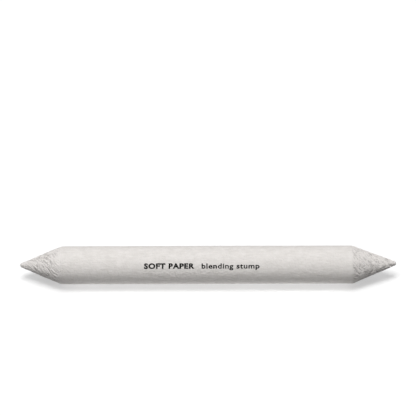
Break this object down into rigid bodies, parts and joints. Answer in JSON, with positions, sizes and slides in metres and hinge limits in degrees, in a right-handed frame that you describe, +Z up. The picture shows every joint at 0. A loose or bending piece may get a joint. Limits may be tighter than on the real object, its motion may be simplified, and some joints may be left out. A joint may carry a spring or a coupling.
{
  "type": "blending stump",
  "caption": "Double-ended drawing stump: a straight round barrel wound from soft felt paper in pasted turns, ground to a blunt cone at each end.",
  "frame": {"origin": "under the middle of the stump, on the plane that it lies on", "axes": "+X along the stump from its left point to its right point, +Z up with the lap line underneath, +Y towards the back"},
  "size_m": [0.15, 0.0152, 0.0151],
  "materials": {
    "cover_paper": "matte",
    "felt_paper": "matte",
    "core_paper": "matte",
    "paste": "satin"
  },
  "bodies": {
    "root": {"core_roll": "core_paper", "turn_01": "felt_paper", "turn_02": "felt_paper", "turn_03": "felt_paper", "turn_04": "felt_paper", "turn_05": "felt_paper", "turn_06": "felt_paper", "turn_07": "felt_paper", "turn_08": "felt_paper", "turn_09": "felt_paper", "turn_10": "felt_paper", "turn_11": "felt_paper", "turn_12": "felt_paper", "turn_13": "felt_paper", "turn_14": "felt_paper", "turn_15": "felt_paper", "turn_16": "felt_paper", "turn_17": "felt_paper", "turn_18": "felt_paper", "turn_19": "felt_paper", "turn_20": "felt_paper", "turn_21": "felt_paper", "cover_turn": "cover_paper", "lap_paste": "paste"}
  },
  "joints": []
}
